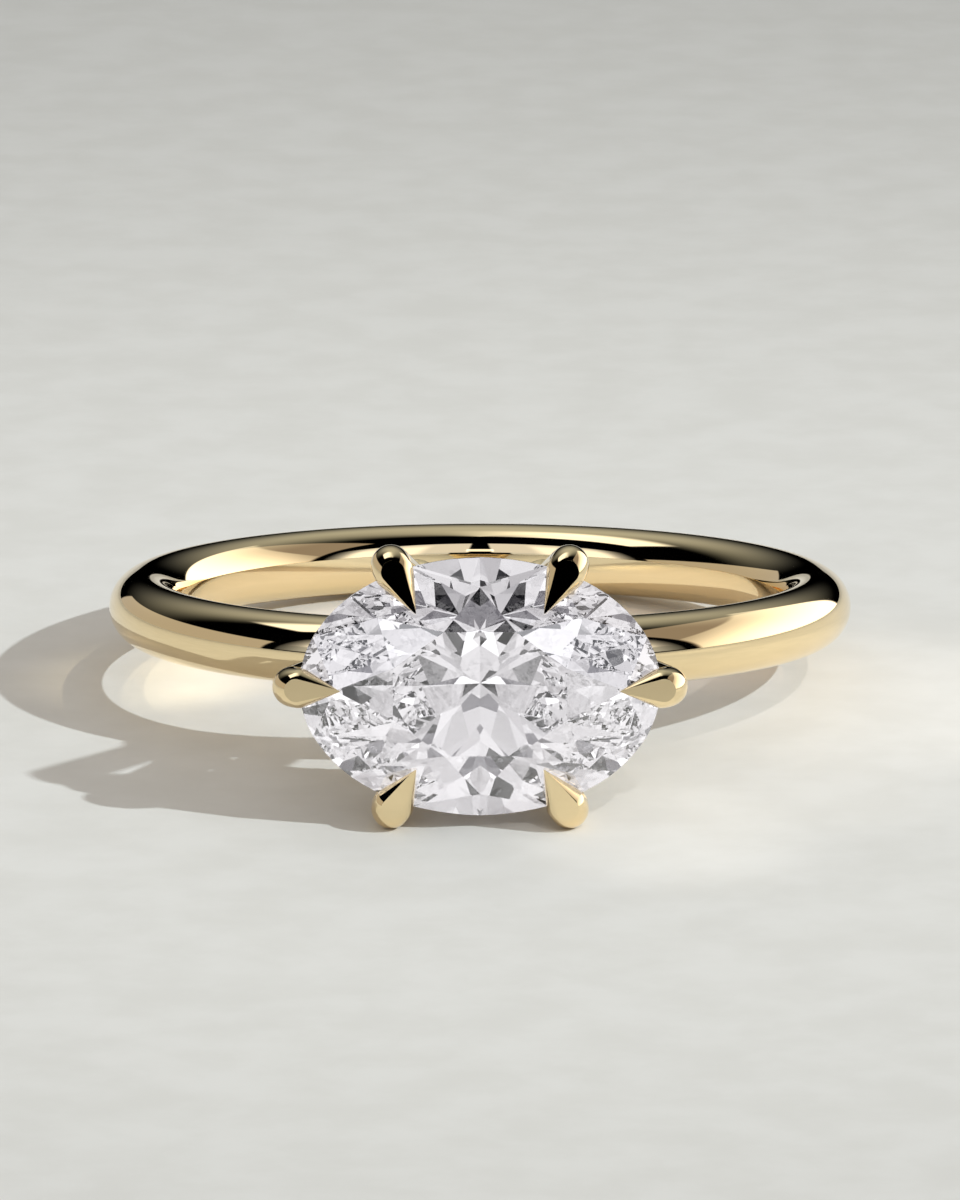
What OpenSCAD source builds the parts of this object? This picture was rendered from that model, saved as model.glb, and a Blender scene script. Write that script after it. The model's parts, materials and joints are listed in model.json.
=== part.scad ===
// Oval solitaire engagement ring, lying on its side the way it comes to rest.
// The stone and its setting are drawn in the stone's frame: its table faces +Z and its long axis
// runs along X. The band and the finished ring are drawn in the ring's frame: Z runs along the
// finger and the stone faces -Y. The ring is then leaned back and lifted, so that the far edge
// of the band and the two lower claws touch the ground at Z = 0.

/* [Band] */
// Radius of the finger hole
finger_r = 8.45; // [8.2:0.05:9.2]
// Thickness of the round wire that the band is made of
band_d = 1.93; // [1.8:0.01:2.1]
// Width of the narrow flat land that runs round the inside of the band
land_w = 0.44; // [0.36:0.02:0.6]

/* [Stone] */
// Length of the stone, across the finger
stone_l = 9.65; // [9.4:0.05:9.9]
// Width of the stone, along the finger
stone_w = 6.95; // [6.8:0.05:7.1]
// Height of the girdle where the main facets meet it
girdle_h = 0.18; // [0.17:0.01:0.22]
// Size of the table as a share of the stone's width
table_share = 0.52; // [0.5:0.01:0.54]
// Slope of the crown's main facets across the width
crown_angle = 38; // [37:0.5:39]
// Slope of the pavilion's main facets across the width
pavilion_angle = 42.8; // [42.4:0.1:43.2]
// How far the star facets reach from the table towards the girdle
star_share = 0.62; // [0.58:0.01:0.64]
// How far the lower half facets reach from the girdle towards the point
lower_share = 0.7; // [0.66:0.01:0.74]

/* [Setting] */
// Distance from the ring's centre to the middle of the stone's girdle
girdle_r = 14.8; // [14.7:0.05:15]
// Thickness of a prong where it bends in over the stone
claw_d = 1.066; // [1.05:0.01:1.07]
// Thickness of a prong's wire at its foot
wire_foot_d = 0.94; // [0.92:0.01:0.96]
// Angle by which the prongs spread on their way up from the foot
wire_lean = 18; // [17:0.5:19]
// Radius to which the middle of a prong's wire is bent
bend_r = 0.34; // [0.32:0.01:0.36]
// Angle above level up to which the bend runs, where the claw's taper starts
bend_top_angle = 60; // [56:1:64]
// Slope of the flat filed along the top of a claw, down to its round end
claw_flat_angle = 8; // [7:0.5:10]
// Depth of that flat where the claw is thickest
claw_flat_h = 0.1; // [0.08:0.01:0.12]
// Depth of that flat at the claw's sharp point
claw_blunt_h = 0.02; // [0.02:0.01:0.04]
// Height of a claw's point above the crown that it presses on
claw_point_h = 0.06; // [0.05:0.01:0.08]
// Thickness of the gallery rail that ties the prongs together under the stone
rail_d = 0.8; // [0.76:0.01:0.82]
// Distance down from the stone's girdle to the gallery rail
rail_drop = 4.2; // [4.1:0.05:4.3]
// Thickness of the ball at which a prong's foot meets the gallery rail
rail_ball_d = 1.04; // [1.02:0.01:1.06]
// Gap between the stone and the metal that holds it
seat_gap = 0.03; // [0.02:0.01:0.05]

/* [Hidden] */
$fn = 96;

// The band's section is a circle, cut off by the land on the finger's side.
band_r = band_d / 2;
band_ring_r = finger_r + sqrt(band_r * band_r - land_w * land_w / 4);

// The stone is worked out as a round brilliant of radius 1, with eight main facets round its
// crown and eight round its pavilion, and then stretched to its length and width. Stretching
// keeps every facet flat. Each sector between two main facets has two half facets, and each of
// those meets the girdle along RIM_STEPS short edges. The two axes of the stone lie in the middle
// of a sector.
MAINS = 8;
MAIN_STEP = 360 / MAINS;
HALF_STEP = MAIN_STEP / 2;
FIRST_A = HALF_STEP;
RIM_STEPS = 5;
RIM = 2 * MAINS * RIM_STEPS;

half_l = stone_l / 2;
half_w = stone_w / 2;
girdle_z = girdle_h / stone_w;
table_z = girdle_z + tan(crown_angle) * (1 - table_share);
star_r = table_share * cos(HALF_STEP) + star_share * (1 - table_share * cos(HALF_STEP));
star_z = girdle_z + tan(crown_angle) * (1 - star_r * cos(HALF_STEP));
lower_r = 1 - lower_share;
lower_z = -girdle_z - tan(pavilion_angle) * (1 - lower_r * cos(HALF_STEP));
culet_z = -girdle_z - tan(pavilion_angle);

// A point of the unit stone at a radius, an azimuth and a height
function at(r, a, z) = [r * cos(a), r * sin(a), z];

// The same, with the azimuth counted from the first main facet
function cut_at(r, a, z) = at(r, a + FIRST_A, z);

// Azimuth of point i of the rim, and of the inner point that its half facet runs to
function rim_a(i) = i * 360 / RIM;
function inner_a(a) = (floor(a / MAIN_STEP) + 0.5) * MAIN_STEP;

// Height of a half facet where it meets the rim at azimuth a. The facet's plane holds an inner
// point of the crown or pavilion, and two corners on the rim at the height corner_z.
function rim_z(a, inner_r, inner_z, corner_z) =
    let(
        middle = (floor(a / HALF_STEP) + 0.5) * HALF_STEP,
        chord = cos(HALF_STEP / 2),
        reach = inner_r * cos(inner_a(a) - middle)
    )
    corner_z + (inner_z - corner_z) * (chord - cos(a - middle)) / (chord - reach);

// Points of the unit stone, from its culet up to its table
culet_points = [cut_at(0, 0, culet_z)];
lower_points = [for (k = [0 : MAINS - 1]) cut_at(lower_r, (k + 0.5) * MAIN_STEP, lower_z)];
low_rim_points = [for (i = [0 : RIM - 1])
    cut_at(1, rim_a(i), rim_z(rim_a(i), lower_r, lower_z, -girdle_z))];
high_rim_points = [for (i = [0 : RIM - 1])
    cut_at(1, rim_a(i), rim_z(rim_a(i), star_r, star_z, girdle_z))];
star_points = [for (k = [0 : MAINS - 1]) cut_at(star_r, (k + 0.5) * MAIN_STEP, star_z)];
table_points = [for (k = [0 : MAINS - 1]) cut_at(table_share, k * MAIN_STEP, table_z)];
unit_points = concat(culet_points, lower_points, low_rim_points, high_rim_points, star_points,
    table_points);

// The number of each of those points in unit_points
CULET = 0;
function lower_no(k) = 1 + (k + MAINS) % MAINS;
function low_rim_no(i) = 1 + MAINS + i % RIM;
function high_rim_no(i) = low_rim_no(i) + RIM;
function star_no(k) = 1 + MAINS + 2 * RIM + (k + MAINS) % MAINS;
function table_no(k) = star_no(k) + MAINS;

// Facets, each a list of point numbers, clockwise as seen from outside the stone
pavilion_mains = [for (k = [0 : MAINS - 1])
    [CULET, lower_no(k - 1), low_rim_no(2 * k * RIM_STEPS), lower_no(k)]];
lower_halves = [for (h = [0 : 2 * MAINS - 1])
    concat([lower_no(floor(h / 2))], [for (i = [0 : RIM_STEPS]) low_rim_no(h * RIM_STEPS + i)])];
girdle_faces = [for (i = [0 : RIM - 1])
    [low_rim_no(i), high_rim_no(i), high_rim_no(i + 1), low_rim_no(i + 1)]];
upper_halves = [for (h = [0 : 2 * MAINS - 1])
    concat([star_no(floor(h / 2))], [for (i = [RIM_STEPS : -1 : 0]) high_rim_no(h * RIM_STEPS + i)])];
crown_mains = [for (k = [0 : MAINS - 1])
    [table_no(k), star_no(k), high_rim_no(2 * k * RIM_STEPS), star_no(k - 1)]];
stars = [for (k = [0 : MAINS - 1]) [table_no(k), table_no(k + 1), star_no(k)]];
table_face = [[for (k = [MAINS - 1 : -1 : 0]) table_no(k)]];
facets = concat(pavilion_mains, lower_halves, girdle_faces, upper_halves, crown_mains, stars, table_face);

// The claws, a row each: azimuth and radius, on the unit stone, of the claw's point and of its
// round end. They stand at both ends of the stone and at four places along its sides.
POINT_A = 0;
POINT_R = 1;
END_A = 2;
END_R = 3;
CLAWS = [
    [0, 0.771, 0, 1.04],
    [59.6, 0.696, 62.5, 1.069],
    [120.4, 0.696, 117.5, 1.069],
    [180, 0.771, 180, 1.04],
    [239.6, 0.696, 242.5, 1.069],
    [300.4, 0.696, 297.5, 1.069],
];
claw_r = claw_d / 2;

// The bend and the wire are each a hair thinner than what they run into, so that no two skins
// lie in one another.
HAIR = 0.004;
bend_wire_r = claw_r - HAIR;
wire_top_r = claw_r - 2 * HAIR;
WIRE_OVERLAP = 0.05;

// Height of the unit stone's crown at a point, which is the lowest of its main facets there
function crown_z(r, a) = girdle_z
    + tan(crown_angle) * min([for (k = [0 : MAINS - 1]) 1 - r * cos(a - FIRST_A - k * MAIN_STEP)]);

// A point of the stone's frame, from a point of the unit stone
function stretched(p) = [p[0] * half_l, p[1] * half_w, p[2] * half_w];

function claw_point(c) =
    stretched(at(c[POINT_R], c[POINT_A], crown_z(c[POINT_R], c[POINT_A]))) + [0, 0, claw_point_h];
function claw_end(c) = stretched(at(c[END_R], c[END_A], 0));

// A prong stands in the upright plane through its claw's point and round end. It is bent round
// a middle in that plane. A way in the plane is given by its angle above level, outwards.
function claw_a(c) =
    let(out = claw_end(c) - claw_point(c))
    atan2(out[1], out[0]);
function way(c, angle) = [cos(angle) * cos(claw_a(c)), cos(angle) * sin(claw_a(c)), sin(angle)];

// The flat along a claw's top decides how far the middle of the claw's round end lies below its
// point, and so where the bend is.
function claw_fall(c) =
    let(
        span = claw_end(c) - claw_point(c),
        reach = norm([span[0], span[1]]) - bend_r * (1 - cos(bend_top_angle)),
        below_flat = claw_r - claw_flat_h + claw_blunt_h
    )
    (below_flat + reach * sin(claw_flat_angle)) / cos(claw_flat_angle);
function bend_height(c) = claw_point(c)[2] - claw_fall(c) - bend_r * sin(bend_top_angle);
function bend_middle(c) = claw_end(c) - bend_r * way(c, 0) + [0, 0, bend_height(c)];
function bend_top(c) = bend_middle(c) + bend_r * way(c, bend_top_angle);
function bend_foot(c) = bend_middle(c) + bend_r * way(c, -wire_lean);

// The wire runs straight down from its bend, and nearer the middle of the stone.
function along_wire(c, l) = bend_foot(c) - l * way(c, 90 - wire_lean);
function wire_l(c) = (rail_drop + bend_foot(c)[2]) / cos(wire_lean);
function foot(c) = along_wire(c, wire_l(c));

// The gallery rail is an oval of four arcs, which join in small balls at the feet of the four
// prongs along the sides and run through the two prongs at the stone's ends.
rail_end_x = foot(CLAWS[0])[0];
rail_foot = foot(CLAWS[1]);
rail_join_a = 2 * atan((rail_end_x - rail_foot[0]) / rail_foot[1]);
rail_end_r = rail_foot[1] / sin(rail_join_a);
rail_side_r = rail_foot[0] / cos(rail_join_a);
rail_side_y = rail_foot[1] - rail_side_r * sin(rail_join_a);

// The two prongs at the stone's ends run on past the rail and down into the band, until their
// middle meets the middle of its wire.
end_prong_x = bend_foot(CLAWS[0])[0];
end_prong_y = girdle_r + bend_foot(CLAWS[0])[2];
end_prong_dot = end_prong_x * sin(wire_lean) + end_prong_y * cos(wire_lean);
end_wire_l = end_prong_dot - sqrt(end_prong_dot * end_prong_dot
    - end_prong_x * end_prong_x - end_prong_y * end_prong_y + band_ring_r * band_ring_r);

// The lean at which the far edge of the band and the bends of the lower prongs are level. A
// bend touches the ground just below the place where it is farthest out.
REST_ANGLE = -8;
rest_bend = bend_middle(CLAWS[1]) + bend_r * way(CLAWS[1], REST_ANGLE);
rest_reach = girdle_r + rest_bend[2] + band_ring_r;
rest_span = norm([rest_bend[1], rest_reach]);
rest_lean = acos((band_r - bend_wire_r) / rest_span) - atan2(rest_reach, rest_bend[1]);
rest_z = band_ring_r * sin(rest_lean) + band_r;
rest_back_y = band_ring_r * cos(rest_lean) + band_r;
rest_front_y = -(girdle_r + table_z * half_w) * cos(rest_lean)
    - table_share * cos(HALF_STEP) * half_w * sin(rest_lean);

// Puts children, drawn upwards from the origin, at one point and aims them at another. A
// quarter turn about that line keeps their seams clear of the bend's.
module aimed(from, to) {
    step = to - from;
    translate(from) rotate([0, acos(step[2] / norm(step)), atan2(step[1], step[0])])
        rotate([0, 0, 90]) children();
}

// The stone, or the room that it takes up when it is grown by a gap
module cut_stone(grow = 0) {
    points = [for (p = unit_points)
        [p[0] * (half_l + grow), p[1] * (half_w + grow), p[2] * (half_w + grow) + sign(p[2]) * grow]];
    polyhedron(points = points, faces = facets, convexity = 2);
}

// A drop with a round end at the origin and its point straight up
module drop(r, l) {
    touch = asin(r / l);
    rotate_extrude() intersection() {
        union() {
            circle(r);
            polygon([[0, 0], [r * cos(touch), r * sin(touch)], [0, l]]);
        }
        translate([0, -r]) square([r, l + r]);
    }
}

// The bend in the wire of one prong. Its section stops at the middle of the bend.
module bend(c) {
    translate(bend_middle(c)) rotate([90, 0, claw_a(c)]) rotate([0, 0, -wire_lean])
        rotate_extrude(angle = wire_lean + bend_top_angle) intersection() {
            translate([bend_r, 0]) circle(bend_wire_r);
            translate([0, -claw_d]) square([2 * claw_d, 2 * claw_d]);
        }
}

// One claw with its bend: a drop that lies over the girdle, filed flat along its top
module claw(c) {
    difference() {
        union() {
            aimed(bend_top(c), claw_point(c)) drop(claw_r, norm(bend_top(c) - claw_point(c)));
            bend(c);
        }
        translate(claw_point(c)) rotate([0, claw_flat_angle, claw_a(c)])
            translate([-claw_d, -claw_d, -claw_blunt_h])
            cube([4 * claw_d, 2 * claw_d, claw_d]);
    }
}

// The straight wire of one prong, from its bend down to the rail or the band
module prong_wire(c, l) {
    aimed(along_wire(c, l), bend_foot(c))
        cylinder(h = l + WIRE_OVERLAP, r1 = wire_foot_d / 2, r2 = wire_top_r);
}

// Share of a ball's thickness by which the rail's arcs stop short of the ball's middle
RAIL_SHORT = 1 / 8;

// One arc of the gallery rail round a centre at x, y, between two balls that its ends stop inside
module rail_arc(x, y, r, from_a, to_a) {
    short = asin(RAIL_SHORT * rail_ball_d / r);
    translate([x, y, -rail_drop]) rotate([0, 0, from_a + short])
        rotate_extrude(angle = to_a - from_a - 2 * short)
        translate([r, 0]) circle(d = rail_d);
}

module gallery_rail() {
    for (turn = [0, 180]) rotate([0, 0, turn]) {
        rail_arc(rail_end_x - rail_end_r, 0, rail_end_r, -rail_join_a, rail_join_a);
        rail_arc(0, rail_side_y, rail_side_r, rail_join_a, 180 - rail_join_a);
    }
    for (side_x = [-1, 1], side_y = [-1, 1])
        translate([side_x * rail_foot[0], side_y * rail_foot[1], -rail_drop]) sphere(d = rail_ball_d);
}

// The head that holds the stone, in the stone's frame
module setting() {
    difference() {
        union() {
            gallery_rail();
            for (c = CLAWS) {
                claw(c);
                prong_wire(c, c[POINT_A] % 180 == 0 ? end_wire_l : wire_l(c));
            }
        }
        cut_stone(seat_gap);
    }
}

// The band, in the ring's frame
module band() {
    rotate_extrude() intersection() {
        translate([band_ring_r, 0]) circle(d = band_d);
        translate([finger_r, -band_r]) square([band_d, band_d]);
    }
}

// From the stone's frame to the ring's
module on_ring() {
    translate([0, -girdle_r, 0]) rotate([90, 0, 0]) children();
}

// From the ring's frame to the ground
module at_rest() {
    translate([0, -(rest_back_y + rest_front_y) / 2, rest_z]) rotate([-rest_lean, 0, 0]) children();
}

module band_and_setting() {
    color("gold") at_rest() {
        band();
        on_ring() setting();
    }
}

module oval_stone() {
    color("white") at_rest() on_ring() cut_stone();
}

band_and_setting();
oval_stone();
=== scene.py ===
"""Oval solitaire engagement ring on a pale studio floor.

The gold band with its setting is built here as one fine mesh that stands for the solid of the same
form. The stone keeps its solid and gets the material of a cut diamond.
"""
import json
import math

import bmesh
import bpy
import numpy as np
from mathutils import Matrix, Vector

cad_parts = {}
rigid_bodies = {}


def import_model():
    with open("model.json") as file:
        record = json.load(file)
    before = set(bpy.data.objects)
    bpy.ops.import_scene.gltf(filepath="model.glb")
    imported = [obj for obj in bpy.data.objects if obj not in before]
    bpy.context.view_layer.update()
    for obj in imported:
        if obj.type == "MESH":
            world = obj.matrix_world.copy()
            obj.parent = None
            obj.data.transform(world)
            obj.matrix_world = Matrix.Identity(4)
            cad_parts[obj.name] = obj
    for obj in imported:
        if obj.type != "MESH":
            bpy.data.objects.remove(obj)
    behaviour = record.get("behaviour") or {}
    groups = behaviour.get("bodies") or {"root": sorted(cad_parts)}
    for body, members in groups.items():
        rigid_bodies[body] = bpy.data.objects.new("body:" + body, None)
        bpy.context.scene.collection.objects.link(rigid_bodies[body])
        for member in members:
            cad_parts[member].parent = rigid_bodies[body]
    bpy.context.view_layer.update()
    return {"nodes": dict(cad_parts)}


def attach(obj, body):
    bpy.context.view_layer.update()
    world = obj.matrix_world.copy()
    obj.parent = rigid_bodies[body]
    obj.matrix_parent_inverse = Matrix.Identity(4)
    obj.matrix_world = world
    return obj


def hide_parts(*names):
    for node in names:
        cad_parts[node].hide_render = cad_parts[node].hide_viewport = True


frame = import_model()

MM = 0.001

# Sizes of the ring in millimetres and degrees, as the solids have them
FINGER_R = 8.45
BAND_R = 1.93 / 2
LAND_W = 0.44
HALF_L = 9.65 / 2
HALF_W = 6.95 / 2
GIRDLE_H = 0.18
TABLE_SHARE = 0.52
CROWN_ANGLE = 38
MAIN_STEP = 45
GIRDLE_R = 14.8
CLAW_R = 1.066 / 2
WIRE_FOOT_R = 0.94 / 2
WIRE_LEAN = 18
BEND_R = 0.34
BEND_TOP_ANGLE = 60
CLAW_FLAT_ANGLE = 8
CLAW_FLAT_H = 0.1
CLAW_BLUNT_H = 0.02
CLAW_POINT_H = 0.06
RAIL_R = 0.8 / 2
RAIL_DROP = 4.2
RAIL_BALL_R = 1.04 / 2
SEAT_GAP = 0.03
# Where round its bend a lower prong touches the ground
REST_ANGLE = -8
# The bend is thinner than the wire by a hair, so that no two skins lie on each other
HAIR = 0.004

# Claws, by azimuth and radius on a stone of radius 1: one at each end of the stone, where the point
# and the round end share an azimuth, and one in each quarter
END_POINT_R, END_ROUND_R = 0.771, 1.04
SIDE_POINT_A, SIDE_POINT_R = 59.6, 0.696
SIDE_ROUND_A, SIDE_ROUND_R = 62.5, 1.069
CLAWS = []
for half in (0, 180):
    CLAWS += [
        (half, END_POINT_R, half, END_ROUND_R),
        (half + SIDE_POINT_A, SIDE_POINT_R, half + SIDE_ROUND_A, SIDE_ROUND_R),
        (half + 180 - SIDE_POINT_A, SIDE_POINT_R, half + 180 - SIDE_ROUND_A, SIDE_ROUND_R),
    ]

# Finish of the metal: rounding of its edges and fillets of solder, in millimetres
LAND_ROUND = 0.05
FLAT_ROUND = 0.018
SOLDER_R = 0.22

# How finely each piece of the metal is divided
BAND_STEPS = 448
BAND_SECTION_STEPS = 90
LAND_ROUND_STEPS = 5
WIRE_ROUND = 64
WIRE_STEPS = 24
BEND_STEPS = 22
CLAW_END_STEPS = 9
CLAW_TAPER_STEPS = 14
FLAT_ROUND_STEPS = 3
RAIL_STEPS = 256
RAIL_ROUND = 36

# Stretches of a wire that are divided more finely, in millimetres: how far under the bend the
# seat's stretch has its middle, how far a stretch reaches below and above its middle, and the part
# under the bend that is finer still on the wires at the stone's ends
SEAT_UNDER_BEND = 0.75
STRETCH_BELOW, STRETCH_ABOVE = 0.7, 0.75
STRETCH_STEPS = 26
END_SEAT_FROM, END_SEAT_TO = 1.7, 0.6
END_SEAT_STEPS = 20
# A wire that is longer than its way to the rail by this much runs on into the band
RUNS_ON = 0.1

# Points closer than these are one, in millimetres, and numbers below the last two count as zero
WELD = 1e-5
SEAT_WELD = 1e-4
NEAR_ZERO = 1e-6
NO_TURN = 1e-9
# A face belongs to the seat where the cosine between its way and the skin's is less than this
SKIN_MATCH = 0.97

UP = np.array([0, 0, 1.0])
BAND_RING_R = FINGER_R + math.sqrt(BAND_R**2 - LAND_W**2 / 4)
LEAN = math.radians(WIRE_LEAN)
BEND_TOP = math.radians(BEND_TOP_ANGLE)
FLAT_SLOPE = math.radians(CLAW_FLAT_ANGLE)
CROWN_SLOPE = math.tan(math.radians(CROWN_ANGLE))
CROWN_BASE = GIRDLE_H / 2


def unit(v):
    return np.asarray(v, float) / np.linalg.norm(v)


def plan(radius, azimuth):
    """A point of the stone's plan, from a radius and an azimuth on a stone of radius 1."""
    a = math.radians(azimuth)
    return np.array([radius * math.cos(a) * HALF_L, radius * math.sin(a) * HALF_W, 0.0])


def crown_z(radius, azimuth):
    """Height of the crown's main facets over the middle of the girdle."""
    reach = max(radius * math.cos(math.radians(azimuth - (k + 0.5) * MAIN_STEP)) for k in range(8))
    return CROWN_BASE + CROWN_SLOPE * (1 - reach) * HALF_W


class Prong:
    """One prong in the stone's frame, in millimetres: its middle line and its skin."""

    def __init__(self, point_a, point_r, end_a, end_r):
        self.point = plan(point_r, point_a) + (crown_z(point_r, point_a) + CLAW_POINT_H) * UP
        end = plan(end_r, end_a)
        self.out = unit([*(end - self.point)[:2], 0])
        self.across = np.cross(UP, self.out)
        # The flat filed along the claw's top decides how high its round end and the bend lie.
        self.flat_way = self.way(math.pi / 2 - FLAT_SLOPE)
        self.flat_point = self.point - CLAW_BLUNT_H * self.flat_way
        reach = np.dot(end - self.point, self.out) - BEND_R * (1 - math.cos(BEND_TOP))
        below_flat = CLAW_R - CLAW_FLAT_H + CLAW_BLUNT_H
        fall = (below_flat + reach * math.sin(FLAT_SLOPE)) / math.cos(FLAT_SLOPE)
        bend_z = self.point[2] - fall - BEND_R * math.sin(BEND_TOP)
        self.bend = end - BEND_R * self.out + bend_z * UP
        self.top = self.bend + BEND_R * self.way(BEND_TOP)
        self.foot = self.bend + BEND_R * self.way(-LEAN)
        self.wire_way = self.way(math.pi / 2 - LEAN)
        self.wire_l = (RAIL_DROP + self.foot[2]) / math.cos(LEAN)
        step = self.point - self.top
        self.claw_l = np.linalg.norm(step)
        self.claw_way = step / self.claw_l
        self.claw_side = unit(self.out - np.dot(self.out, self.claw_way) * self.claw_way)
        self.touch = math.asin(CLAW_R / self.claw_l)

    def way(self, angle):
        """A way in the prong's upright plane, by its angle above level, outwards."""
        return math.cos(angle) * self.out + math.sin(angle) * UP

    def along_wire(self, length):
        return self.foot - length * self.wire_way

    def skin_way(self, p):
        """The way that the bent wire's or the claw's skin faces at a point, before any filing."""
        d = p - self.bend
        angle = math.atan2(np.dot(d, UP), np.dot(d, self.out))
        if angle < BEND_TOP:
            return unit(d - BEND_R * self.way(max(angle, -LEAN)))
        w = p - self.top
        along = np.dot(w, self.claw_way)
        if along < CLAW_R * math.sin(self.touch):
            return unit(w)
        side = unit(w - along * self.claw_way)
        return math.cos(self.touch) * side + math.sin(self.touch) * self.claw_way


PRONGS = [Prong(*row) for row in CLAWS]

# The wires run down to the rail, and the two at the stone's ends into the middle of the band.
end_x, end_y = PRONGS[0].foot[0], GIRDLE_R + PRONGS[0].foot[2]
end_dot = end_x * math.sin(LEAN) + end_y * math.cos(LEAN)
END_WIRE_L = end_dot - math.sqrt(end_dot**2 - end_x**2 - end_y**2 + BAND_RING_R**2)

# The gallery rail's oval
RAIL_END_X = PRONGS[0].along_wire(PRONGS[0].wire_l)[0]
RAIL_FOOT = PRONGS[1].along_wire(PRONGS[1].wire_l)
RAIL_JOIN = 2 * math.atan((RAIL_END_X - RAIL_FOOT[0]) / RAIL_FOOT[1])
RAIL_END_R = RAIL_FOOT[1] / math.sin(RAIL_JOIN)
RAIL_SIDE_R = RAIL_FOOT[0] / math.cos(RAIL_JOIN)
RAIL_SIDE_Y = RAIL_FOOT[1] - RAIL_SIDE_R * math.sin(RAIL_JOIN)

# How the ring lies: leaned back until the band's far edge and the lower prongs touch the ground
rest_bend = PRONGS[1].bend + BEND_R * PRONGS[1].way(math.radians(REST_ANGLE))
rest_reach = GIRDLE_R + rest_bend[2] + BAND_RING_R
rest_span = math.hypot(rest_bend[1], rest_reach)
REST_LEAN = math.acos((BAND_R - CLAW_R + HAIR) / rest_span) - math.atan2(rest_reach, rest_bend[1])
REST_Z = BAND_RING_R * math.sin(REST_LEAN) + BAND_R
TABLE_Z = CROWN_BASE + CROWN_SLOPE * (1 - TABLE_SHARE) * HALF_W
rest_back = BAND_RING_R * math.cos(REST_LEAN) + BAND_R
table_half_w = TABLE_SHARE * HALF_W * math.cos(math.radians(MAIN_STEP / 2))
rest_front = -(GIRDLE_R + TABLE_Z) * math.cos(REST_LEAN) - table_half_w * math.sin(REST_LEAN)
AT_REST = (Matrix.Translation((0, -(rest_back + rest_front) / 2 * MM, REST_Z * MM))
           @ Matrix.Rotation(-REST_LEAN, 4, "X"))
ON_RING = (AT_REST @ Matrix.Translation((0, -GIRDLE_R * MM, 0))
           @ Matrix.Rotation(math.pi / 2, 4, "X"))
RING_CENTRE = AT_REST @ Vector((0, 0, 0))
FROM_MM = Matrix.Scale(MM, 4)


def tube_faces(rows, columns, ends_meet=False):
    """Quads of a tube given as rows of points round it."""
    quads = []
    for i in range(rows if ends_meet else rows - 1):
        low, high = i * columns, (i + 1) % rows * columns
        for j in range(columns):
            k = (j + 1) % columns
            quads.append((low + j, low + k, high + k, high + j))
    return quads


def new_mesh(name, points, faces):
    """A smooth mesh object, in millimetres until it is put in its place."""
    mesh = bpy.data.meshes.new(name)
    mesh.from_pydata(np.asarray(points, float).tolist(), [], faces)
    mesh.polygons.foreach_set("use_smooth", [True] * len(mesh.polygons))
    obj = bpy.data.objects.new(name, mesh)
    bpy.context.scene.collection.objects.link(obj)
    return obj


def circle(middle, way_a, way_b, radius, count=WIRE_ROUND):
    """Points of a circle round a middle, as an array."""
    a = np.linspace(0, 2 * math.pi, count, endpoint=False)[:, None]
    return middle + radius * (np.cos(a) * way_a + np.sin(a) * way_b)


def band_section():
    """The band's section, from the finger's side round its outside: distance from axis, height."""
    middle = np.array([BAND_RING_R, 0.0])
    inner = BAND_RING_R - FINGER_R - LAND_ROUND
    corner_z = math.sqrt((BAND_R - LAND_ROUND) ** 2 - inner**2)
    corner = np.array([FINGER_R + LAND_ROUND, corner_z])
    meet = math.atan2(corner_z, -inner)
    round_a = np.linspace(math.pi, meet, LAND_ROUND_STEPS)[:-1]
    outer_a = np.linspace(meet, -meet, BAND_SECTION_STEPS)
    rounded = [corner + LAND_ROUND * np.array([math.cos(a), math.sin(a)]) for a in round_a]
    outside = [middle + BAND_R * np.array([math.cos(a), math.sin(a)]) for a in outer_a]
    return np.array(rounded + outside + [p * [1, -1] for p in reversed(rounded)])


def make_band():
    section = band_section()
    points = []
    for a in np.linspace(0, 2 * math.pi, BAND_STEPS, endpoint=False):
        points += [(r * math.cos(a), r * math.sin(a), z) for r, z in section]
    band = new_mesh("band", points, tube_faces(BAND_STEPS, len(section), True))
    band.data.transform(AT_REST @ FROM_MM)
    return band


def rail_line():
    """Points of the rail's oval middle line, in the stone's frame."""
    quarter = RAIL_STEPS // 4
    half = []
    for a in np.linspace(-RAIL_JOIN, RAIL_JOIN, quarter, endpoint=False):
        half.append((RAIL_END_X - RAIL_END_R + RAIL_END_R * math.cos(a), RAIL_END_R * math.sin(a)))
    for a in np.linspace(RAIL_JOIN, math.pi - RAIL_JOIN, quarter, endpoint=False):
        half.append((RAIL_SIDE_R * math.cos(a), RAIL_SIDE_Y + RAIL_SIDE_R * math.sin(a)))
    half = np.array(half)
    line = np.vstack([half, -half])
    return np.column_stack([line, np.full(len(line), -RAIL_DROP)])


RAIL_LINE = rail_line()


def rail_radius(line):
    """The rail's thickness swells where the feet of the prongs are soldered to it."""
    feet = [p.along_wire(p.wire_l) for p in PRONGS]
    near = np.min([np.linalg.norm(line - f, axis=1) for f in feet], axis=0)
    return RAIL_R + (RAIL_BALL_R - RAIL_R) * np.exp(-((near / RAIL_BALL_R) ** 2))


RAIL_RADIUS = rail_radius(RAIL_LINE)


def make_rail():
    ahead = np.roll(RAIL_LINE, -1, 0) - np.roll(RAIL_LINE, 1, 0)
    points = [circle(p, np.cross(unit(t), UP), UP, r, RAIL_ROUND)
              for p, t, r in zip(RAIL_LINE, ahead, RAIL_RADIUS)]
    rail = new_mesh("rail", np.vstack(points), tube_faces(len(RAIL_LINE), RAIL_ROUND, True))
    rail.data.transform(ON_RING @ FROM_MM)
    return rail


def to_band(p):
    """Distance of points in the stone's frame from the band's skin."""
    from_axis = np.hypot(p[:, 0], p[:, 2] + GIRDLE_R)
    return np.hypot(from_axis - BAND_RING_R, p[:, 1]) - BAND_R


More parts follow.
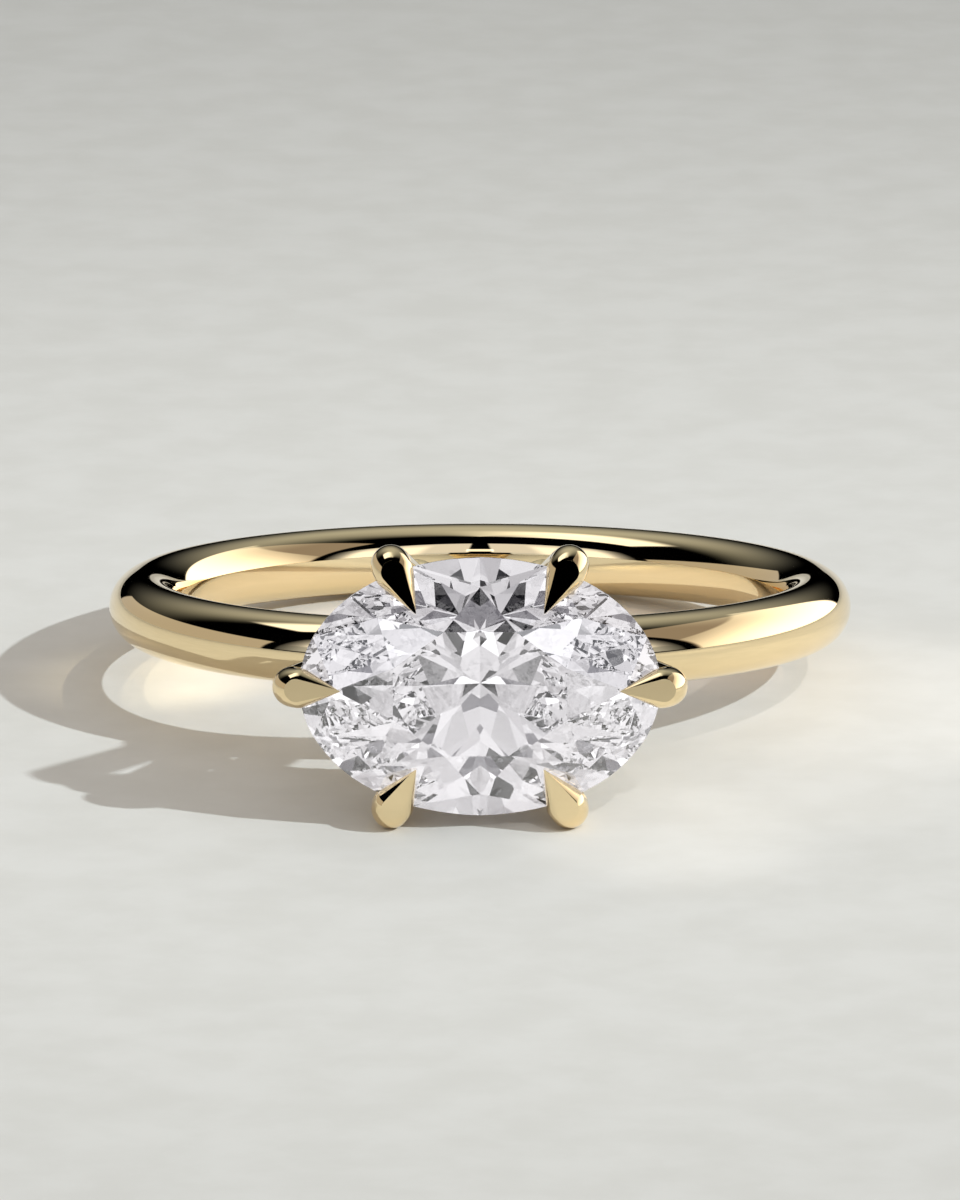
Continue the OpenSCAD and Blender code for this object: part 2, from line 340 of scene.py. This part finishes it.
def to_rail(p):
    """Distance of points in the stone's frame from the rail's skin."""
    far = np.linalg.norm(p[:, None] - RAIL_LINE[None], axis=2)
    return np.min(far - RAIL_RADIUS[None], axis=1)


def fillet(distance):
    """How far a skin swells out, at a distance from another that it is soldered to."""
    near = np.clip(SOLDER_R - distance, 0, SOLDER_R)
    return SOLDER_R - np.sqrt(SOLDER_R**2 - near**2)


def wire_rows(prong, length):
    """Circles up a prong's straight wire, closest together at the seat and where it is soldered."""
    stops = list(np.linspace(0, length, WIRE_STEPS))
    for middle in (round(length - SEAT_UNDER_BEND, 3), round(length - prong.wire_l, 3)):
        stops += list(np.linspace(middle - STRETCH_BELOW, middle + STRETCH_ABOVE, STRETCH_STEPS))
    runs_on = length > prong.wire_l + RUNS_ON
    if runs_on:
        stops += list(np.linspace(length - END_SEAT_FROM, length - END_SEAT_TO, END_SEAT_STEPS))
    stops = sorted({round(s, 3) for s in stops if 0 <= s <= length})
    rows = []
    for s in stops:
        radius = WIRE_FOOT_R + (CLAW_R - WIRE_FOOT_R) * s / length
        middle = prong.along_wire(length - s)
        row = circle(middle, prong.way(-LEAN), prong.across, radius)
        swell = fillet(to_rail(row))
        if runs_on:
            swell = np.maximum(swell, fillet(to_band(row)))
        rows.append(row + (row - middle) / radius * swell[:, None])
    return rows


def bend_rows(prong):
    """Sections of the bend. They stop at its middle, which all of them share."""
    rows = []
    for angle in np.linspace(-LEAN, BEND_TOP, BEND_STEPS):
        row = circle(prong.bend + BEND_R * prong.way(angle), prong.way(angle), prong.across,
                     CLAW_R - HAIR)
        inside = (row - prong.bend) @ prong.way(angle) < 0
        level = prong.bend + np.outer((row - prong.bend) @ prong.across, prong.across)
        rows.append(np.where(inside[:, None], level, row))
    return rows


def claw_rows(prong):
    """Circles over the claw's round end, which turn towards its point, and then down its taper."""
    first = circle(0, prong.way(BEND_TOP), prong.across, 1)
    last = (math.sin(prong.touch) * prong.claw_way
            + math.cos(prong.touch) * circle(0, prong.claw_side, prong.across, 1))
    turn = np.arccos(np.clip(np.sum(first * last, axis=1), -1, 1))[:, None] + NO_TURN
    rows = []
    for share in np.linspace(0, 1, CLAW_END_STEPS):
        way = (np.sin((1 - share) * turn) * first + np.sin(share * turn) * last) / np.sin(turn)
        rows.append(prong.top + CLAW_R * way)
    taper_start = rows[-1]
    for share in np.linspace(0, 1, CLAW_TAPER_STEPS)[1:-1]:
        rows.append(taper_start * (1 - share) + prong.point * share)
    return rows


def seat_cutter():
    """The stone grown by the gap that the metal keeps from it, in the stone's frame."""
    mesh = frame["nodes"]["oval_stone"].data.copy()
    mesh.transform((ON_RING @ FROM_MM).inverted())
    for v in mesh.vertices:
        x, y, z = v.co
        v.co = (x * (1 + SEAT_GAP / HALF_L), y * (1 + SEAT_GAP / HALF_W),
                z * (1 + SEAT_GAP / HALF_W) + math.copysign(SEAT_GAP, z))
    bm = bmesh.new()
    bm.from_mesh(mesh)
    bmesh.ops.remove_doubles(bm, verts=bm.verts, dist=SEAT_WELD)
    bmesh.ops.recalc_face_normals(bm, faces=bm.faces)
    bm.to_mesh(mesh)
    bm.free()
    cutter = bpy.data.objects.new("seat_cutter", mesh)
    bpy.context.scene.collection.objects.link(cutter)
    return cutter


# Kinds of face on a prong
SKIN, SEAT, FLAT, EDGE = range(4)


def file_flat(bm, prong, kind):
    """Files the flat along the top of a claw, and rounds its edge."""
    cut = bmesh.ops.bisect_plane(
        bm, geom=bm.verts[:] + bm.edges[:] + bm.faces[:], dist=NEAR_ZERO, clear_outer=True,
        plane_co=Vector(prong.flat_point), plane_no=Vector(prong.flat_way))
    edges = [e for e in cut["geom_cut"] if isinstance(e, bmesh.types.BMEdge)]
    for face in bmesh.ops.contextual_create(bm, geom=edges)["faces"]:
        face[kind] = FLAT
    done = bmesh.ops.bevel(bm, geom=edges, offset=FLAT_ROUND, segments=FLAT_ROUND_STEPS,
                           profile=0.5, affect="EDGES", clamp_overlap=True)
    for face in done["faces"]:
        if face[kind] == SKIN:
            face[kind] = EDGE


def cut_seat(obj, cutter):
    """Cuts the stone's room out of a prong."""
    whole = np.array([v.co[:] for v in obj.data.vertices])
    seat = obj.modifiers.new("seat", "BOOLEAN")
    seat.operation = "DIFFERENCE"
    seat.solver = "FAST"
    seat.object = cutter
    cut = bpy.data.meshes.new_from_object(obj.evaluated_get(bpy.context.evaluated_depsgraph_get()))
    obj.modifiers.clear()
    obj.data = cut
    points = np.array([v.co[:] for v in cut.vertices])
    if (points < whole.min(axis=0) - HAIR).any() or (points > whole.max(axis=0) + HAIR).any():
        raise ValueError("the cut left a part of the stone's room behind")
    return cut


def make_prong(prong, length, cutter):
    """One prong with its claw, cut to the stone and filed, in the stone's frame.

    The prongs on the right are mirrored to the left for the cut, so that both sides come out alike.
    """
    side = -1 if prong.out[0] > 0 else 1
    rows = wire_rows(prong, length) + bend_rows(prong) + claw_rows(prong)
    last = (len(rows) - 1) * WIRE_ROUND
    tip = last + WIRE_ROUND
    faces = tube_faces(len(rows), WIRE_ROUND)
    faces += [(last + j, last + (j + 1) % WIRE_ROUND, tip) for j in range(WIRE_ROUND)]
    faces.append(tuple(range(WIRE_ROUND - 1, -1, -1)))
    obj = new_mesh("prong", np.vstack(rows + [prong.point[None]]) * [side, 1, 1], faces)
    bm = bmesh.new()
    bm.from_mesh(obj.data)
    bmesh.ops.remove_doubles(bm, verts=bm.verts, dist=WELD)
    bmesh.ops.dissolve_degenerate(bm, edges=bm.edges, dist=WELD)
    bmesh.ops.recalc_face_normals(bm, faces=bm.faces)
    bm.to_mesh(obj.data)
    bm.free()

    cut = cut_seat(obj, cutter)
    bm = bmesh.new()
    bm.from_mesh(cut)
    kind = bm.faces.layers.int.new("kind")
    if side < 0:
        for v in bm.verts:
            v.co.x *= side
        bmesh.ops.reverse_faces(bm, faces=bm.faces)
    bm.normal_update()
    for face in bm.faces:
        middle = np.array(face.calc_center_median())
        above = np.dot(middle - prong.foot, prong.wire_way) > 0
        if above and np.dot(prong.skin_way(middle), face.normal) < SKIN_MATCH:
            face[kind] = SEAT
    file_flat(bm, prong, kind)
    bm.normal_update()
    bm.to_mesh(cut)
    kinds = [f[kind] for f in bm.faces]
    bm.free()
    cut.polygons.foreach_set("use_smooth", [True] * len(cut.polygons))
    set_normals(cut, prong, kinds)
    return obj


def set_normals(mesh, prong, kinds):
    """Gives each corner of a prong the way that its true skin faces there."""
    flat = prong.flat_way
    corner_ways = []
    own = [np.array(n.vector) for n in mesh.vertex_normals]
    for poly in mesh.polygons:
        k = kinds[poly.index]
        for v in poly.vertices:
            p = np.array(mesh.vertices[v].co)
            if k in (SEAT, FLAT):
                way = np.array(poly.normal)
            elif k == EDGE and abs(np.dot(p - prong.flat_point, flat)) < WELD:
                way = flat
            elif np.dot(p - prong.foot, prong.wire_way) > 0:
                way = prong.skin_way(p)
            else:
                way = own[v]
            corner_ways.append(way)
    mesh.normals_split_custom_set(corner_ways)


cutter = seat_cutter()
parts = [make_band(), make_rail()]
for prong in PRONGS:
    at_end = abs(prong.across[0]) < NEAR_ZERO
    made = make_prong(prong, END_WIRE_L if at_end else prong.wire_l, cutter)
    made.data.transform(ON_RING @ FROM_MM)
    parts.append(made)
bpy.data.objects.remove(cutter)
for obj in bpy.context.scene.objects:
    obj.select_set(obj in parts)
bpy.context.view_layer.objects.active = parts[0]
bpy.ops.object.join()
ring = parts[0]
ring.name = ring.data.name = "gold_ring"
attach(ring, "root")
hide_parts("band_and_setting")


# Materials and light, which are built of nodes
class Nodes:
    """Builds the nodes of a material or of the world from plain calls."""

    def __init__(self, owner):
        owner.use_nodes = True
        self.tree = owner.node_tree
        self.tree.nodes.clear()

    def add(self, kind, inputs=None, **settings):
        node = self.tree.nodes.new("ShaderNode" + kind)
        for name, value in settings.items():
            setattr(node, name, value)
        for name, value in (inputs or {}).items():
            self.put(node.inputs[name], value)
        return node

    def put(self, socket, value):
        if isinstance(value, bpy.types.NodeSocket):
            self.tree.links.new(value, socket)
        else:
            socket.default_value = value

    def math(self, operation, *values):
        node = self.add("Math", operation=operation)
        for socket, value in zip(node.inputs, values):
            self.put(socket, value)
        return node.outputs[0]

    def ramp(self, value, start, end, low=0.0, high=1.0):
        """A smooth step of a value, from low at start to high at end."""
        node = self.add("MapRange", interpolation_type="SMOOTHSTEP", inputs={
            "Value": value, "From Min": start, "From Max": end, "To Min": low, "To Max": high})
        return node.outputs[0]

    def mix(self, share, first, second):
        node = self.add("Mix", data_type="RGBA")
        for socket, value in zip((node.inputs[0], node.inputs[6], node.inputs[7]),
                                 (share, first, second)):
            self.put(socket, value)
        return node.outputs[2]


def new_material(name):
    made = bpy.data.materials.new(name)
    return made, Nodes(made)


def dress(obj, made):
    obj.data.materials.clear()
    obj.data.materials.append(made)


# Polished gold: fine wear, and a cloudy change between two close golds. Scales are per metre.
GOLD_DEEP = (0.945, 0.760, 0.455, 1)
GOLD_PALE = (0.95, 0.775, 0.475, 1)
CLOUD_SCALE = 260.0
WEAR_SCALE = 900.0
WEAR_DEPTH = 0.5e-6
WEAR_STRENGTH = 0.05
WEAR_SPAN = (0.3, 0.8)
GOLD_ROUGHNESS = (0.02, 0.05)

# Cut diamond
DIAMOND_TINT = (0.985, 0.98, 1.0, 1)
DIAMOND_IOR = 2.42


def make_gold():
    made, n = new_material("yellow_gold")
    place = n.add("TexCoord").outputs["Object"]
    wear = n.add("TexNoise", {"Vector": place, "Scale": WEAR_SCALE, "Detail": 4.0}).outputs["Fac"]
    cloud = n.add("TexNoise", {"Vector": place, "Scale": CLOUD_SCALE, "Detail": 2.0}).outputs["Fac"]
    bump = n.add("Bump", {"Height": wear, "Strength": WEAR_STRENGTH,
                          "Distance": WEAR_DEPTH}).outputs[0]
    metal = n.add("BsdfPrincipled", {
        "Base Color": n.mix(cloud, GOLD_DEEP, GOLD_PALE), "Metallic": 1.0,
        "Roughness": n.ramp(wear, *WEAR_SPAN, *GOLD_ROUGHNESS), "Normal": bump})
    n.add("OutputMaterial", {"Surface": metal.outputs[0]})
    return made


def make_diamond():
    made, n = new_material("diamond")
    glass = n.add("BsdfPrincipled", {
        "Base Color": DIAMOND_TINT, "Transmission Weight": 1.0, "IOR": DIAMOND_IOR,
        "Roughness": 0.0})
    n.add("OutputMaterial", {"Surface": glass.outputs[0]})
    return made


dress(ring, make_gold())
stone = frame["nodes"]["oval_stone"]
dress(stone, make_diamond())

# The floor's half width in metres, its two shades, and the mottle between them
FLOOR_HALF = 1.5
FLOOR_DARK = (0.738, 0.717, 0.692, 1)
FLOOR_LIGHT = (0.780, 0.760, 0.740, 1)
MOTTLE_SCALE = 420.0
MOTTLE_SPAN = (0.3, 0.7)
FLOOR_ROUGHNESS = 0.6
FLOOR_GLOSS = 0.2
# Painted shade: the floor's colour darkens with distance from the place where it is brightest,
# standing in for the fall-off of the key light, in metres
FLOOR_BRIGHT_AT = (0.006, -0.004, 0)
FLOOR_FADE = (0.005, 0.12)
FLOOR_PAINTED_SHADE = 0.36


def make_floor():
    mesh = bpy.data.meshes.new("floor")
    h = FLOOR_HALF
    mesh.from_pydata([(-h, -h, 0), (h, -h, 0), (h, h, 0), (-h, h, 0)], [], [(0, 1, 2, 3)])
    floor = bpy.data.objects.new("floor", mesh)
    bpy.context.scene.collection.objects.link(floor)
    made, n = new_material("pale_floor")
    place = n.add("TexCoord").outputs["Object"]
    mottle = n.add("TexNoise", {"Vector": place, "Scale": MOTTLE_SCALE, "Detail": 5.0,
                                "Roughness": 0.55}).outputs["Fac"]
    colour = n.mix(n.ramp(mottle, *MOTTLE_SPAN), FLOOR_DARK, FLOOR_LIGHT)
    # Painted shade: the floor's colour is darkened away from its brightest place, standing in for
    # the fall-off of the light
    from_bright = n.add("VectorMath", operation="DISTANCE",
                        inputs={0: place, 1: FLOOR_BRIGHT_AT}).outputs["Value"]
    painted_shade = n.ramp(from_bright, *FLOOR_FADE, 0.0, FLOOR_PAINTED_SHADE)
    colour = n.mix(painted_shade, colour, (0, 0, 0, 1))
    matte = n.add("BsdfPrincipled", {"Base Color": colour, "Roughness": FLOOR_ROUGHNESS,
                                     "Specular IOR Level": FLOOR_GLOSS})
    n.add("OutputMaterial", {"Surface": matte.outputs[0]})
    dress(floor, made)
    return floor


floor = make_floor()

# Camera: its pitch and distance, its focal length and the frame's height in pixels of the
# photograph, how many pixels over the middle of the ring it aims, and the nearest that it sees
PITCH = math.radians(15.13)
DISTANCE = 328 * MM
FOCAL_PX = 11740
FRAME_H_PX = 1200
AIM_UP_PX = 5
NEAREST = 0.01


def make_camera():
    data = bpy.data.cameras.new("camera")
    data.lens = FOCAL_PX * data.sensor_width / FRAME_H_PX
    data.clip_start = NEAREST
    made = bpy.data.objects.new("camera", data)
    bpy.context.scene.collection.objects.link(made)
    back = Vector((0, -math.cos(PITCH), math.sin(PITCH)))
    up = Vector((0, math.sin(PITCH), math.cos(PITCH)))
    aim = RING_CENTRE + up * (AIM_UP_PX / FOCAL_PX * DISTANCE)
    made.location = aim + back * DISTANCE
    made.rotation_mode = "QUATERNION"
    made.rotation_quaternion = (-back).to_track_quat("-Z", "Y")
    bpy.context.scene.camera = made


make_camera()


# Light. Azimuths are in degrees from the camera's side of the ring, to the right.
def way_to(azimuth, elevation):
    a, e = math.radians(azimuth), math.radians(elevation)
    return Vector((math.cos(e) * math.sin(a), -math.cos(e) * math.cos(a), math.sin(e)))


KEY = {"azimuth": 64.7, "elevation": 35.4, "size": 1.2, "energy": 2.45,
       "colour": (0.88, 0.975, 1.0)}

# Light that the gold throws on the floor: place in millimetres, where it comes from, width of the
# pool in millimetres, power, how soft its edge is, and colour
POOLS = [
    {"at": (-9.0, 3.0), "azimuth": 120, "elevation": 60, "width": 7, "power": 0.03,
     "blend": 0.5, "colour": (1.0, 0.86, 0.55)},
    {"at": (-8.0, 1.3), "azimuth": 120, "elevation": 45, "width": 3.0, "power": 0.07,
     "blend": 0.9, "colour": (1.0, 0.89, 0.60)},
    {"at": (-8.7, 4.0), "azimuth": 120, "elevation": 45, "width": 3.6, "power": 0.05,
     "blend": 0.8, "colour": (1.0, 0.86, 0.55)},
    {"at": (30.0, -14.0), "azimuth": 60, "elevation": 60, "width": 24, "power": 0.045,
     "blend": 1.0, "colour": (1.0, 0.94, 0.84)},
    {"at": (12.0, 0.0), "azimuth": 60, "elevation": 55, "width": 17, "power": 0.034,
     "blend": 1.0, "colour": (1.0, 0.95, 0.86)},
    {"at": (8.5, -8.5), "azimuth": 60, "elevation": 55, "width": 10, "power": 0.016,
     "blend": 1.0, "colour": (1.0, 0.95, 0.86)},
    {"at": (4.4, -12.5), "azimuth": 20, "elevation": 45, "width": 10, "power": 0.036,
     "blend": 1.0, "colour": (1.0, 0.97, 0.90)},
]
# The warm crescent inside the back of the band, as overlapping pools round the ring's centre
CRESCENT_R = 6.2
CRESCENT = {"azimuth": 0, "elevation": 85, "width": 8, "power": 0.021, "blend": 1.0,
            "colour": (1.0, 0.66, 0.36)}
CRESCENT_TURNS = range(15, 180, 30)
for turn in CRESCENT_TURNS:
    a = math.radians(turn)
    at = CRESCENT_R * math.cos(a), RING_CENTRE.y / MM + CRESCENT_R * math.sin(a)
    POOLS.append({"at": at, **CRESCENT})
# How far the lamp of a pool is from it, and the lamp's radius, in millimetres
POOL_DISTANCE = 60
LAMP_R = 1


def make_light(name, kind, way):
    data = bpy.data.lights.new(name, kind)
    made = bpy.data.objects.new(name, data)
    bpy.context.scene.collection.objects.link(made)
    made.rotation_mode = "QUATERNION"
    made.rotation_quaternion = way.to_track_quat("Z", "Y")
    made.visible_glossy = False
    made.visible_transmission = False
    return made


def make_key():
    made = make_light("key", "SUN", way_to(KEY["azimuth"], KEY["elevation"]))
    made.data.energy = KEY["energy"]
    made.data.angle = math.radians(KEY["size"])
    made.data.color = KEY["colour"]


def make_pool(name, pool):
    way = way_to(pool["azimuth"], pool["elevation"])
    made = make_light(name, "SPOT", way)
    made.location = (Vector((*pool["at"], 0)) + way * POOL_DISTANCE) * MM
    made.data.energy = pool["power"]
    made.data.color = pool["colour"]
    made.data.spot_size = 2 * math.atan(pool["width"] / 2 / POOL_DISTANCE)
    made.data.spot_blend = pool["blend"]
    made.data.shadow_soft_size = LAMP_R * MM


make_key()
for number, pool in enumerate(POOLS):
    make_pool(f"pool_{number}", pool)


# The studio that the metal mirrors. Each panel faces the ring from an azimuth and an elevation, and
# its edges and fades are angles seen from the ring: turn to the right of facing, rise above it.
STUDIO = [
    # Back wall, glowing high up
    {"facing": (-172, 0), "turn": (-90, 58), "rise": (0, 180), "soft": 1, "level": 0.6,
     "colour": (0.84, 0.87, 0.84), "fades": [("turn", -88, -8), ("turn", 58, 4), ("rise", 4, 50)]},
    # Softbox over the left shoulder
    {"facing": (0, 90), "turn": (-37, 8), "rise": (0.5, 60), "soft": 3, "level": 1.5,
     "colour": (0.98, 0.99, 1.0), "fades": [("turn", 6, -18), ("rise", 32, 20)]},
    # Large softbox on the right, brightest low and towards the back
    {"facing": (124, 0), "turn": (-52, 26), "rise": (-2, 42), "soft": 2, "level": 2.0,
     "colour": (1.0, 0.97, 0.92), "fades": [("turn", -85, -12), ("rise", 60, 0)]},
    # Its spill on the wall round it
    {"facing": (80, 0), "turn": (-9, 69), "rise": (-2, 61), "soft": 2, "level": 0.31,
     "colour": (1.0, 0.86, 0.77), "fades": []},
    # Low warm wall on the left
    {"facing": (-88, 0), "turn": (-67, 17), "rise": (-2, 22), "soft": 1.5, "level": 0.49,
     "colour": (1.0, 0.92, 0.83), "fades": []},
    # Small light over the camera
    {"facing": (0, 0), "turn": (-6, 6), "rise": (34.5, 42), "soft": 1, "level": 1.4,
     "colour": (1.0, 1.0, 1.0), "fades": []},
]

# Two large windows behind the camera, one to each side, brightest towards their outer edges: the
# upper pane, the lower pane and a soft bright core. They are given for the right side.
WINDOW = [
    {"turn": (5, 66), "rise": (31, 62), "soft": 1.5, "level": 0.82,
     "colour": (0.98, 1.0, 1.1), "fades": [("turn", 68, 52)]},
    {"turn": (13, 66), "rise": (5, 31), "soft": 1.5, "level": 0.68,
     "colour": (0.95, 1.0, 1.1), "fades": [("turn", 70, 48)]},
    {"turn": (26, 57), "rise": (28, 60), "soft": 7, "level": 0.55,
     "colour": (1.0, 1.0, 1.0), "fades": [("rise", 62, 48)]},
]
for pane in WINDOW:
    left, right = pane["turn"]
    mirrored = [(name, -start, -end) if name == "turn" else (name, start, end)
                for name, start, end in pane["fades"]]
    STUDIO += [{**pane, "facing": (0, 0), "turn": (-right, -left), "fades": mirrored},
               {**pane, "facing": (0, 0)}]

# The light that every other ray meets
ROOM = (0.60, 0.585, 0.55, 1)

# The light that goes through the stone comes from a plain room of pale and dimmer panes, with rings
# of round cards standing in it. Angles are in degrees: a ring's cards are evenly spaced from the
# first one's azimuth, all at one elevation.
STONE_ROOM = (1.0, 0.98, 0.99, 1)
STONE_PANE = (0.62, 0.60, 0.61, 1)
PANE_SCALE = 7.0
PANE_SPAN = (0, 0.7)
GREY_CARD = (0.24, 0.23, 0.25, 1)
DARK_CARD = (0.01, 0.01, 0.012, 1)
WHITE_CARD = (1.5, 1.48, 1.5, 1)
CARD_SOFT = 2
CARD_RINGS = [
    {"elevation": 15, "cards": 4, "first": 0, "radius": 24, "colour": GREY_CARD},
    {"elevation": 20, "cards": 8, "first": 45, "radius": 11, "colour": DARK_CARD},
    {"elevation": 55, "cards": 5, "first": 40, "radius": 11, "colour": DARK_CARD},
    {"elevation": -10, "cards": 5, "first": 20, "radius": 9, "colour": DARK_CARD},
    {"elevation": -50, "cards": 3, "first": 20, "radius": 11, "colour": DARK_CARD},
    {"elevation": 35, "cards": 5, "first": 0, "radius": 8, "colour": WHITE_CARD},
    {"elevation": 5, "cards": 5, "first": 0, "radius": 7, "colour": WHITE_CARD},
]


def panel_light(n, way, panel):
    """The light of one panel, in every way that can be looked in."""
    azimuth, elevation = panel["facing"]
    axes = way_to(azimuth, elevation), way_to(azimuth + 90, 0), way_to(azimuth, elevation + 90)
    ahead, across, above = (
        n.add("VectorMath", operation="DOT_PRODUCT", inputs={0: way, 1: axis}).outputs["Value"]
        for axis in axes)
    angles = {}
    for name, value in (("turn", across), ("rise", above)):
        angles[name] = n.math("DEGREES", n.math("ARCTAN2", value, ahead))
    half = panel["soft"] / 2
    ramps = list(panel["fades"])
    for name in ("turn", "rise"):
        low, high = panel[name]
        ramps += [(name, low - half, low + half), (name, high + half, high - half)]
    share = panel["level"]
    for name, start, end in ramps:
        share = n.math("MULTIPLY", share, n.ramp(angles[name], start, end))
    return n.add("VectorMath", operation="SCALE",
                 inputs={0: panel["colour"], "Scale": share}).outputs[0]


def stone_light(n, way):
    """The light that the stone's inside meets, in every way that can be looked in."""
    pane = n.add("TexVoronoi", {"Vector": way, "Scale": PANE_SCALE}).outputs["Color"]
    pane = n.add("SeparateColor", {"Color": pane}).outputs["Red"]
    light = n.mix(n.ramp(pane, *PANE_SPAN), STONE_PANE, STONE_ROOM)
    for row in CARD_RINGS:
        edge = [math.cos(math.radians(row["radius"] + side * CARD_SOFT / 2)) for side in (1, -1)]
        for number in range(row["cards"]):
            azimuth = row["first"] + number * 360 / row["cards"]
            towards = way_to(azimuth, row["elevation"])
            near = n.add("VectorMath", operation="DOT_PRODUCT",
                         inputs={0: way, 1: towards}).outputs["Value"]
            light = n.mix(n.ramp(near, *edge), light, row["colour"])
    return light


def make_world():
    """The metal mirrors the studio, the stone has a room of its own, and the rest is plain."""
    world = bpy.data.worlds.new("studio")
    bpy.context.scene.world = world
    n = Nodes(world)
    way = n.add("TexCoord").outputs["Generated"]
    studio = (0, 0, 0)
    for panel in STUDIO:
        studio = n.add("VectorMath", operation="ADD",
                       inputs={0: studio, 1: panel_light(n, way, panel)}).outputs[0]
    path = n.add("LightPath").outputs
    light = n.add("Background", {"Color": ROOM}).outputs[0]
    for ray, colour in (("Is Glossy Ray", studio), ("Is Transmission Ray", stone_light(n, way))):
        seen = n.add("Background", {"Color": colour}).outputs[0]
        light = n.add("MixShader", {0: path[ray], 1: light, 2: seen}).outputs[0]
    n.add("OutputWorld", {"Surface": light})


make_world()

# The light that has gone through the stone doesn't meet the gold or the floor
ring.visible_transmission = False
floor.visible_transmission = False

# A cut stone needs many bounces
BOUNCES = 40
cycles = bpy.context.scene.cycles
cycles.max_bounces = BOUNCES
cycles.transmission_bounces = BOUNCES
cycles.glossy_bounces = BOUNCES
bpy.context.scene.view_settings.view_transform = "Standard"
